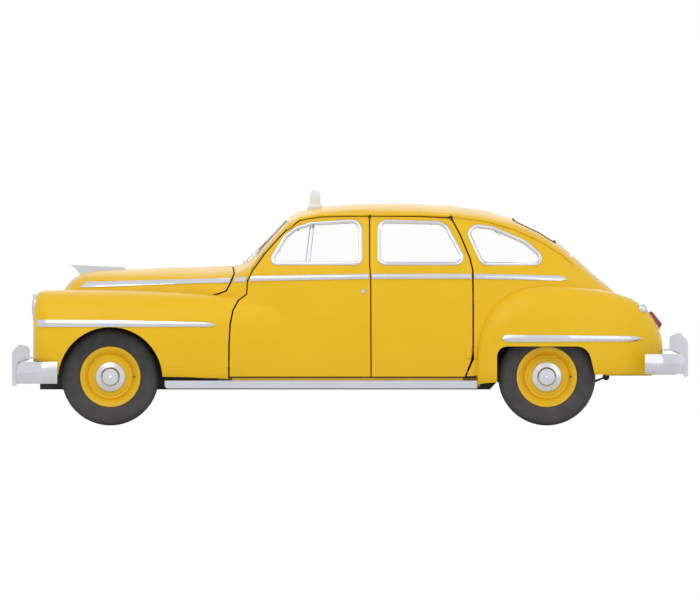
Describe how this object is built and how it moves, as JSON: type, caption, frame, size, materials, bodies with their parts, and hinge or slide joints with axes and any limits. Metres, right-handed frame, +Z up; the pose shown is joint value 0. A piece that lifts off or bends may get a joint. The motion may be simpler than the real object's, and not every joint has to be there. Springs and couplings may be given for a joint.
{
  "type": "taxi cab",
  "caption": "Long four-door saloon taxi with rounded separate fenders, a fastback tail, bright bumpers and a blank roof lamp; doors, hood, trunk lid and wheels move.",
  "frame": {"origin": "on the ground under the middle of the overall length, on the centre plane", "axes": "+X rearward, +Y to the car's right, +Z up"},
  "size_m": [5.07, 1.9116, 1.7657],
  "materials": {
    "chassis_black": "satin black",
    "engine_grey": "painted casting",
    "inner_paint": "satin",
    "yellow_paint": "gloss yellow",
    "wheel_paint": "gloss yellow",
    "chrome_trim": "bright plated",
    "window_glass": "clear",
    "red_lens": "dark red lens",
    "white_lens": "opal white",
    "seat_cloth": "brown cloth",
    "dash_paint": "satin brown",
    "wheel_black": "black",
    "tyre_rubber": "rubber"
  },
  "bodies": {
    "car_body": {"chassis_frame": "chassis_black", "front_suspension": "chassis_black", "rear_axle": "chassis_black", "leaf_springs": "chassis_black", "exhaust": "chassis_black", "fuel_tank": "chassis_black", "radiator": "chassis_black", "engine": "engine_grey", "floor_pan": "inner_paint", "firewall": "inner_paint", "trunk_floor": "inner_paint", "wheel_houses": "inner_paint", "side_frame_left": "inner_paint", "side_frame_right": "inner_paint", "cowl": "yellow_paint", "roof": "yellow_paint", "quarter_panel_left": "yellow_paint", "quarter_panel_right": "yellow_paint", "rear_panel": "yellow_paint", "nose_panel": "yellow_paint", "front_fender_left": "yellow_paint", "front_fender_right": "yellow_paint", "rear_fender_left": "yellow_paint", "rear_fender_right": "yellow_paint", "running_boards": "chrome_trim", "grille": "chrome_trim", "front_bumper": "chrome_trim", "rear_bumper": "chrome_trim", "headlamps": "chrome_trim", "fuel_cap": "chrome_trim", "body_glass": "window_glass", "tail_lamps": "red_lens", "roof_lamp": "white_lens", "front_seat": "seat_cloth", "rear_seat": "seat_cloth", "dashboard": "dash_paint"},
    "hood": {"hood": "yellow_paint", "hood_ornament": "chrome_trim"},
    "trunk_lid": {"trunk_lid": "yellow_paint"},
    "front_door_left": {"front_door_left": "yellow_paint", "front_door_glass_left": "window_glass"},
    "front_door_right": {"front_door_right": "yellow_paint", "front_door_glass_right": "window_glass"},
    "rear_door_left": {"rear_door_left": "yellow_paint", "rear_door_glass_left": "window_glass"},
    "rear_door_right": {"rear_door_right": "yellow_paint", "rear_door_glass_right": "window_glass"},
    "knuckle_left": {"knuckle_left": "chassis_black"},
    "knuckle_right": {"knuckle_right": "chassis_black"},
    "wheel_front_left": {"wheel_front_left": "wheel_paint", "tyre_front_left": "tyre_rubber"},
    "wheel_front_right": {"wheel_front_right": "wheel_paint", "tyre_front_right": "tyre_rubber"},
    "wheel_rear_left": {"wheel_rear_left": "wheel_paint", "tyre_rear_left": "tyre_rubber"},
    "wheel_rear_right": {"wheel_rear_right": "wheel_paint", "tyre_rear_right": "tyre_rubber"},
    "steering_wheel": {"steering_wheel": "wheel_black"}
  },
  "joints": [
    {"name": "front_door_left_swing", "type": "hinge", "parent": "car_body", "child": "front_door_left", "pos_m": [-0.8495, -0.87201, 0.57], "axis": [0, 0, -1], "range_deg": [0, 65]},
    {"name": "front_door_right_swing", "type": "hinge", "parent": "car_body", "child": "front_door_right", "pos_m": [-0.8495, 0.87201, 0.57], "axis": [0, 0, 1], "range_deg": [0, 65]},
    {"name": "rear_door_left_swing", "type": "hinge", "parent": "car_body", "child": "rear_door_left", "pos_m": [0.866, -0.82073, 0.7], "axis": [0, 0, 1], "range_deg": [0, 65]},
    {"name": "rear_door_right_swing", "type": "hinge", "parent": "car_body", "child": "rear_door_right", "pos_m": [0.866, 0.82073, 0.7], "axis": [0, 0, -1], "range_deg": [0, 65]},
    {"name": "hood_lift", "type": "hinge", "parent": "car_body", "child": "hood", "pos_m": [-0.987, 0, 1.14491], "axis": [0, 1, 0], "range_deg": [0, 45]},
    {"name": "trunk_lid_lift", "type": "hinge", "parent": "car_body", "child": "trunk_lid", "pos_m": [1.56, 0, 1.28586], "axis": [0, -1, 0], "range_deg": [0, 60]},
    {"name": "steer_left", "type": "hinge", "parent": "car_body", "child": "knuckle_left", "pos_m": [-1.79775, -0.625, 0.365], "axis": [0, 0, 1], "range_deg": [-30, 30]},
    {"name": "steer_right", "type": "hinge", "parent": "car_body", "child": "knuckle_right", "pos_m": [-1.79775, 0.625, 0.365], "axis": [0, 0, 1], "range_deg": [-30, 30]},
    {"name": "steering_wheel_turn", "type": "hinge", "parent": "car_body", "child": "steering_wheel", "pos_m": [-0.395, -0.375, 0.99], "axis": [0.848, 0, 0.5299], "range_deg": [-480, 480]},
    {"name": "wheel_front_left_spin", "type": "hinge", "parent": "knuckle_left", "child": "wheel_front_left", "pos_m": [-1.79775, -0.735, 0.365], "axis": [0, 1, 0], "continuous": true},
    {"name": "wheel_front_right_spin", "type": "hinge", "parent": "knuckle_right", "child": "wheel_front_right", "pos_m": [-1.79775, 0.735, 0.365], "axis": [0, 1, 0], "continuous": true},
    {"name": "wheel_rear_left_spin", "type": "hinge", "parent": "car_body", "child": "wheel_rear_left", "pos_m": [1.476, -0.765, 0.365], "axis": [0, 1, 0], "continuous": true},
    {"name": "wheel_rear_right_spin", "type": "hinge", "parent": "car_body", "child": "wheel_rear_right", "pos_m": [1.476, 0.765, 0.365], "axis": [0, 1, 0], "continuous": true}
  ],
  "couplings": [
    {"joint": "steer_right", "follows": "steer_left", "ratio": 1},
    {"joint": "steering_wheel_turn", "follows": "steer_left", "ratio": 16}
  ]
}
